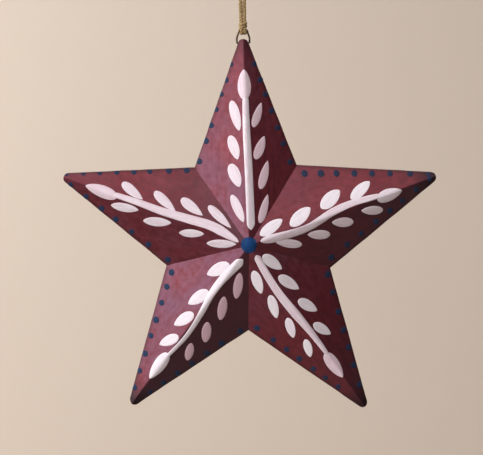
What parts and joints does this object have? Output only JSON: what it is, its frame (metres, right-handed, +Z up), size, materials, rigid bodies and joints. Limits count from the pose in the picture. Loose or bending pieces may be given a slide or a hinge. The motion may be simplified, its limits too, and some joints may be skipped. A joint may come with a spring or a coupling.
{
  "type": "hanging star ornament",
  "caption": "Hollow painted tin star of folded points soldered front and back, hung by a wire bail and a twine loop.",
  "frame": {"origin": "under the top of the twine loop, where a nail or hook carries the ornament", "axes": "+Z up along the twine, -Y out of the star's front, +X to the right seen from the front"},
  "size_m": [0.1273, 0.029, 0.1823],
  "materials": {
    "painted_tin": "hand-brushed maroon paint, satin, with pale leaf sprays and blue dots",
    "painted_solder": "solder under the same brushed maroon paint",
    "dark_wire": "dark oxidised wire",
    "jute_twine": "twisted jute, slightly hairy"
  },
  "bodies": {
    "twine": {"twine_loop": "jute_twine"},
    "knot": {"twine_knot": "jute_twine"},
    "bail": {"wire_bail": "dark_wire"},
    "star": {"front_point_top": "painted_tin", "front_point_left": "painted_tin", "front_point_lower_left": "painted_tin", "front_point_lower_right": "painted_tin", "front_point_right": "painted_tin", "back_point_top": "painted_tin", "back_point_left": "painted_tin", "back_point_lower_left": "painted_tin", "back_point_lower_right": "painted_tin", "back_point_right": "painted_tin", "front_seam_solder": "painted_solder", "back_seam_solder": "painted_solder", "rim_solder": "painted_solder"}
  },
  "joints": [
    {"name": "twine_twist", "type": "hinge", "parent": "twine", "child": "knot", "pos_m": [0, 0, -0.04802], "axis": [0, 0, 1], "range_deg": [-180, 180]},
    {"name": "bail_swing", "type": "hinge", "parent": "knot", "child": "bail", "pos_m": [0, 0, -0.05033], "axis": [1, 0, 0], "range_deg": [-80, 80]},
    {"name": "star_swing", "type": "hinge", "parent": "bail", "child": "star", "pos_m": [0, 0, -0.05482], "axis": [1, 0, 0], "range_deg": [-80, 80]}
  ]
}
